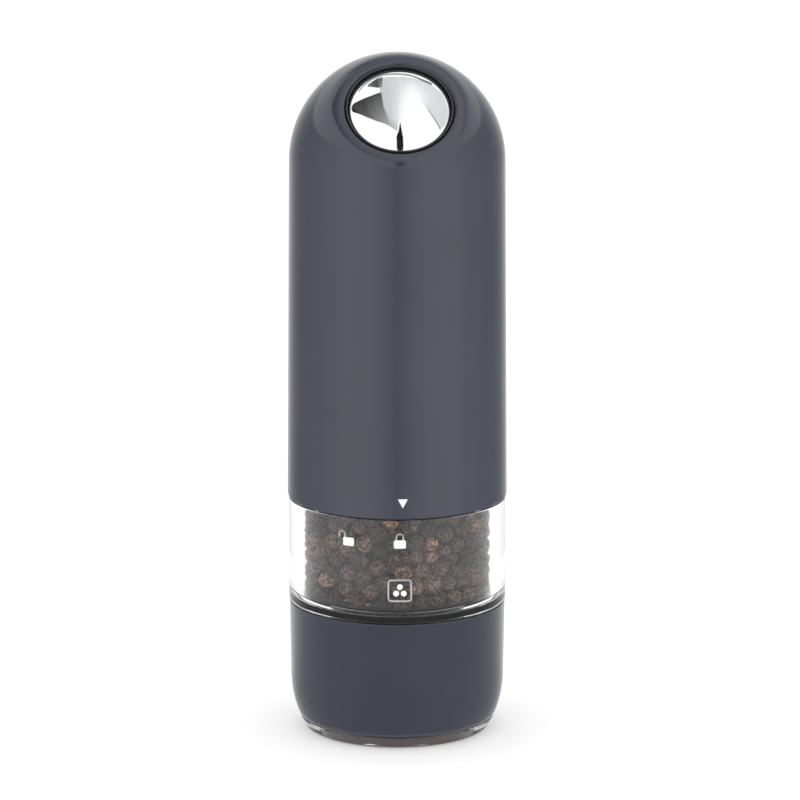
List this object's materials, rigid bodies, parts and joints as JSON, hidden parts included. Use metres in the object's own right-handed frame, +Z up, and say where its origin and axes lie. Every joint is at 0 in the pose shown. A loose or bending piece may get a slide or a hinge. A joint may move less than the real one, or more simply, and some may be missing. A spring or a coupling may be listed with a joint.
{
  "type": "electric pepper mill",
  "caption": "Free-standing electric pepper mill: domed glossy cover with a slanted chrome push button, clear peppercorn chamber, dark rounded base and clear foot rim.",
  "frame": {"origin": "centre of the foot's resting face", "axes": "+Z up along the mill's axis, -Y towards the front, where the button and the printed marks face, +X to the viewer's right"},
  "size_m": [0.0542, 0.0542, 0.17],
  "materials": {
    "slate_cover": "high-gloss dark slate grey ABS",
    "clear_acrylic": "thick polished clear acrylic",
    "black_plastic": "satin black nylon",
    "bezel_black": "dark grey satin-gloss ring",
    "grey_plastic": "mid grey moulded plastic",
    "chrome": "chrome-plated cap",
    "steel": "bare hardened or zinc-plated steel",
    "brass": "machined or stamped brass",
    "rubber": "black nitrile rubber",
    "nylon": "natural off-white plastic",
    "board_green": "green solder mask",
    "cell_wrap": "printed film wrap over a steel can",
    "red_plastic": "red plastic"
  },
  "bodies": {
    "base": {"lower_shell": "slate_cover", "clear_body": "clear_acrylic", "foot_ring": "clear_acrylic", "grinder_carrier": "black_plastic", "shaft_bush": "brass", "stator_burr": "steel", "burr_clamp_ring": "grey_plastic", "carrier_screw_1": "steel", "carrier_screw_2": "steel", "carrier_screw_3": "steel"},
    "drive": {"drive_shaft": "steel", "shaft_clip": "steel", "grinder_spring": "steel"},
    "rotor": {"rotor_burr": "steel"},
    "adjuster": {"adjuster_knob": "black_plastic"},
    "gear_carrier": {"gear_carrier": "steel"},
    "planet_1": {"planet_gear_1": "nylon"},
    "planet_2": {"planet_gear_2": "nylon"},
    "planet_3": {"planet_gear_3": "nylon"},
    "pinion": {"motor_pinion": "steel"},
    "lock_ring": {"lock_ring": "black_plastic"},
    "cover": {"cover_shell": "slate_cover", "button_bezel": "bezel_black", "button_guide": "grey_plastic", "button_spring": "steel"},
    "button": {"button_cap": "chrome", "button_stem": "nylon"},
    "switch_plunger": {"switch_plunger": "red_plastic"},
    "motor_block": {"motor_chassis": "grey_plastic", "seal_ring": "rubber", "clear_body_led": "nylon", "cell_tray": "black_plastic", "cell_tray_cap": "black_plastic", "gearbox_housing": "grey_plastic", "gearbox_cover": "grey_plastic", "motor_can": "steel", "motor_end_bell": "black_plastic", "motor_terminal_1": "brass", "motor_wire_1": "black_plastic", "motor_terminal_2": "brass", "motor_wire_2": "red_plastic", "cell_1": "cell_wrap", "cell_2": "cell_wrap", "cell_3": "cell_wrap", "cell_4": "cell_wrap", "cell_5": "cell_wrap", "cell_6": "cell_wrap", "contact_bottom_1": "steel", "contact_bottom_2": "steel", "contact_bottom_3": "steel", "contact_top_1": "steel", "contact_top_2": "steel", "contact_end_1": "steel", "contact_end_2": "steel", "circuit_board": "board_green", "board_screw_1": "steel", "board_screw_2": "steel", "switch_bracket": "grey_plastic", "microswitch": "black_plastic"}
  },
  "joints": [
    {"name": "drive_spin", "type": "hinge", "parent": "base", "child": "drive", "pos_m": [0, 0, 0.05], "axis": [0, 0, 1], "continuous": true},
    {"name": "rotor_slide", "type": "slide", "parent": "drive", "child": "rotor", "axis": [0, 0, 1], "range_m": [0, 0.00064], "deforming": ["grinder_spring"]},
    {"name": "grind_adjust", "type": "hinge", "parent": "drive", "child": "adjuster", "pos_m": [0, 0, 0.006], "axis": [0, 0, 1], "range_deg": [0, 300]},
    {"name": "motor_block_lift", "type": "slide", "parent": "base", "child": "motor_block", "axis": [0, 0, 1], "range_m": [0, 0.05]},
    {"name": "carrier_spin", "type": "hinge", "parent": "motor_block", "child": "gear_carrier", "pos_m": [0, 0, 0.08], "axis": [0, 0, 1], "continuous": true},
    {"name": "pinion_spin", "type": "hinge", "parent": "motor_block", "child": "pinion", "pos_m": [0, 0, 0.09], "axis": [0, 0, 1], "continuous": true},
    {"name": "planet_1_spin", "type": "hinge", "parent": "gear_carrier", "child": "planet_1", "pos_m": [0, 0.00675, 0.086], "axis": [0, 0, 1], "continuous": true},
    {"name": "planet_2_spin", "type": "hinge", "parent": "gear_carrier", "child": "planet_2", "pos_m": [-0.00585, -0.00337, 0.086], "axis": [0, 0, 1], "continuous": true},
    {"name": "planet_3_spin", "type": "hinge", "parent": "gear_carrier", "child": "planet_3", "pos_m": [0.00585, -0.00337, 0.086], "axis": [0, 0, 1], "continuous": true},
    {"name": "cover_twist", "type": "hinge", "parent": "motor_block", "child": "lock_ring", "pos_m": [0, 0, 0.078], "axis": [0, 0, 1], "range_deg": [-28, 0]},
    {"name": "cover_lift", "type": "slide", "parent": "lock_ring", "child": "cover", "axis": [0, 0, 1], "range_m": [0, 0.1]},
    {"name": "button_press", "type": "slide", "parent": "cover", "child": "button", "axis": [0, 0.6561, -0.7547], "range_m": [0, 0.002], "stiffness_N_per_m": 700, "springref_m": -0.001},
    {"name": "switch_press", "type": "slide", "parent": "motor_block", "child": "switch_plunger", "axis": [0, 0.6561, -0.7547], "range_m": [0, 0.0016], "stiffness_N_per_m": 150, "springref_m": -0.0005}
  ],
  "couplings": [
    {"joint": "grind_adjust", "follows": "rotor_slide", "rad_per_m": 7854},
    {"joint": "carrier_spin", "follows": "drive_spin", "ratio": 1},
    {"joint": "pinion_spin", "follows": "drive_spin", "ratio": 4.5},
    {"joint": "planet_1_spin", "follows": "drive_spin", "ratio": -2.8},
    {"joint": "planet_2_spin", "follows": "drive_spin", "ratio": -2.8},
    {"joint": "planet_3_spin", "follows": "drive_spin", "ratio": -2.8},
    {"joint": "switch_press", "follows": "button_press", "ratio": 0.75}
  ]
}
